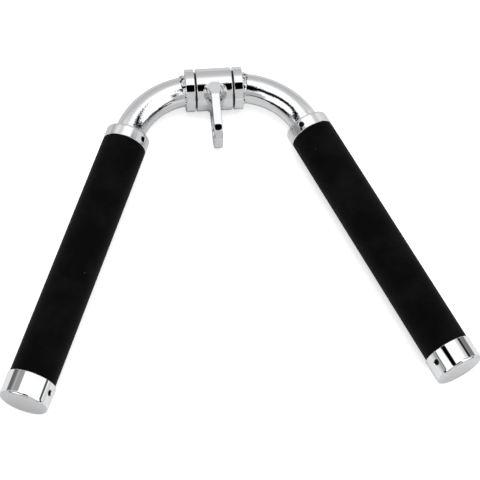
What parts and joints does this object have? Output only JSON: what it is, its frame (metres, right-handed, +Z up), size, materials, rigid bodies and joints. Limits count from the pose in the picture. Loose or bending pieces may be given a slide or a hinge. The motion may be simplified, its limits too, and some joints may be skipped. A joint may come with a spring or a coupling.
{
  "type": "triceps bar",
  "caption": "V-shaped triceps pushdown bar: bent chromed steel bar with a swivelling eye lug at its middle, and a rubber grip, collar and end cap on each arm.",
  "frame": {"origin": "under the middle of the whole bar, on the surface that it lies on", "axes": "+X along the swivel's axis, +Z up from the surface that the bar lies on; the arms run towards -Y and the bend is at +Y"},
  "size_m": [0.372, 0.2923, 0.0388],
  "materials": {
    "chrome": "polished chrome plate on steel",
    "rubber": "matte black moulded rubber",
    "nylon": "plain black nylon",
    "blackened_steel": "black oxide"
  },
  "bodies": {
    "bar": {"bent_bar": "chrome", "left_retaining_collar": "chrome", "right_retaining_collar": "chrome", "left_collar_weld": "chrome", "right_collar_weld": "chrome", "left_grip_collar": "chrome", "right_grip_collar": "chrome", "left_grip": "rubber", "right_grip": "rubber", "left_end_cap": "chrome", "right_end_cap": "chrome", "left_grip_collar_set_screw": "blackened_steel", "right_grip_collar_set_screw": "blackened_steel", "left_end_cap_set_screw": "blackened_steel", "right_end_cap_set_screw": "blackened_steel"},
    "swivel": {"swivel_sleeve": "chrome", "eye_lug": "chrome", "lug_weld": "chrome", "left_bushing": "nylon", "right_bushing": "nylon"}
  },
  "joints": [
    {"name": "swivel_spin", "type": "hinge", "parent": "bar", "child": "swivel", "pos_m": [0, 0.12824, 0.0194], "axis": [1, 0, 0], "continuous": true}
  ]
}
